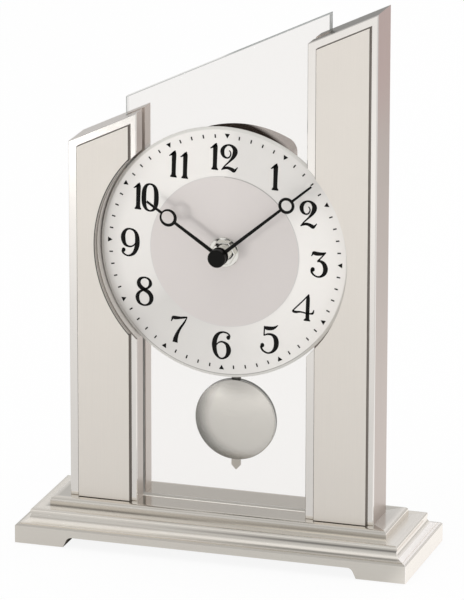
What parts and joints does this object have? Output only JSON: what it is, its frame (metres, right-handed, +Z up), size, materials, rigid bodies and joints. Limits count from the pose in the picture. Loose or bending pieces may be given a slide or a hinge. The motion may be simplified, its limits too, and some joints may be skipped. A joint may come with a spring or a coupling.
{
  "type": "desk pendulum clock",
  "caption": "Desk clock with a round dial recessed between slanted metal columns, a glass pane, a stepped base and a free-hanging pendulum below a battery movement.",
  "frame": {"origin": "middle of the base, on the surface the clock stands on", "axes": "+Z up, +X to the viewer's right, the dial faces -Y"},
  "size_m": [0.2, 0.067, 0.2764],
  "materials": {
    "base_metal": "satin",
    "felt": "matte",
    "steel": "satin",
    "column_metal": "satin",
    "polished_front": "polished",
    "brushed_panel": "brushed",
    "glass": "clear",
    "dial_white": "satin",
    "dial_grey": "satin",
    "fixing_chrome": "polished",
    "brass": "satin",
    "hand_black": "satin",
    "movement_plastic": "matte",
    "wheel_plastic": "matte",
    "winding": "satin",
    "board_green": "matte",
    "battery_wrap": "gloss",
    "housing_gloss": "gloss",
    "pendulum_metal": "satin",
    "magnet": "satin"
  },
  "bodies": {
    "case": {"base_block": "base_metal", "felt_pads": "felt", "base_moulding": "base_metal", "base_cap": "base_metal", "column_screws": "steel", "left_column": "column_metal", "left_front_plate": "polished_front", "left_panel": "brushed_panel", "right_column": "column_metal", "right_front_plate": "polished_front", "right_panel": "brushed_panel", "glass_panel": "glass", "dial_disc": "dial_white", "dial_centre": "dial_grey", "dial_washer": "fixing_chrome", "dial_nut": "fixing_chrome", "shaft_bush": "fixing_chrome", "movement_front_plate": "movement_plastic", "movement_back_plate": "movement_plastic", "movement_pillars": "steel", "motor_block": "movement_plastic", "motor_coil": "winding", "circuit_board": "board_green", "battery": "battery_wrap", "battery_contacts": "steel", "housing": "housing_gloss", "pendulum_pin": "steel", "pin_clip": "steel", "drive_coil": "winding"},
    "minute": {"minute_arbor": "brass", "centre_wheel": "wheel_plastic", "minute_hand": "hand_black", "hand_cap": "hand_black"},
    "hour": {"hour_wheel": "wheel_plastic", "hour_hand": "hand_black"},
    "minute_wheel": {"minute_wheel": "wheel_plastic"},
    "third_wheel": {"third_wheel": "wheel_plastic"},
    "setting": {"setting_arbor": "brass", "setting_knob": "movement_plastic"},
    "pendulum": {"pendulum_rod": "pendulum_metal", "bob_front": "pendulum_metal", "bob_back": "pendulum_metal", "bob_rivets": "brass", "drive_magnet": "magnet"},
    "rear_cover": {"rear_cover": "housing_gloss"}
  },
  "joints": [
    {"name": "minute_turn", "type": "hinge", "parent": "case", "child": "minute", "pos_m": [0, 0, 0.1514], "axis": [0, 1, 0], "continuous": true},
    {"name": "hour_turn", "type": "hinge", "parent": "case", "child": "hour", "pos_m": [0, 0, 0.1514], "axis": [0, 1, 0], "continuous": true},
    {"name": "minute_wheel_turn", "type": "hinge", "parent": "case", "child": "minute_wheel", "pos_m": [-0.012, 0.006, 0.1514], "axis": [0, 1, 0], "continuous": true},
    {"name": "third_wheel_turn", "type": "hinge", "parent": "case", "child": "third_wheel", "pos_m": [0, 0.008, 0.1626], "axis": [0, 1, 0], "continuous": true},
    {"name": "setting_turn", "type": "hinge", "parent": "case", "child": "setting", "pos_m": [-0.01707, 0.02, 0.14052], "axis": [0, 1, 0], "continuous": true},
    {"name": "pendulum_swing", "type": "hinge", "parent": "case", "child": "pendulum", "pos_m": [0, 0.0118, 0.196], "axis": [0, 1, 0], "range_deg": [-4, 4]},
    {"name": "cover_lift_off", "type": "slide", "parent": "case", "child": "rear_cover", "axis": [0, 1, 0], "range_m": [0, 0.03]}
  ],
  "couplings": [
    {"joint": "hour_turn", "follows": "minute_turn", "ratio": 0.083333},
    {"joint": "minute_wheel_turn", "follows": "minute_turn", "ratio": -0.33333},
    {"joint": "third_wheel_turn", "follows": "minute_turn", "ratio": -6},
    {"joint": "setting_turn", "follows": "minute_turn", "ratio": 1}
  ]
}
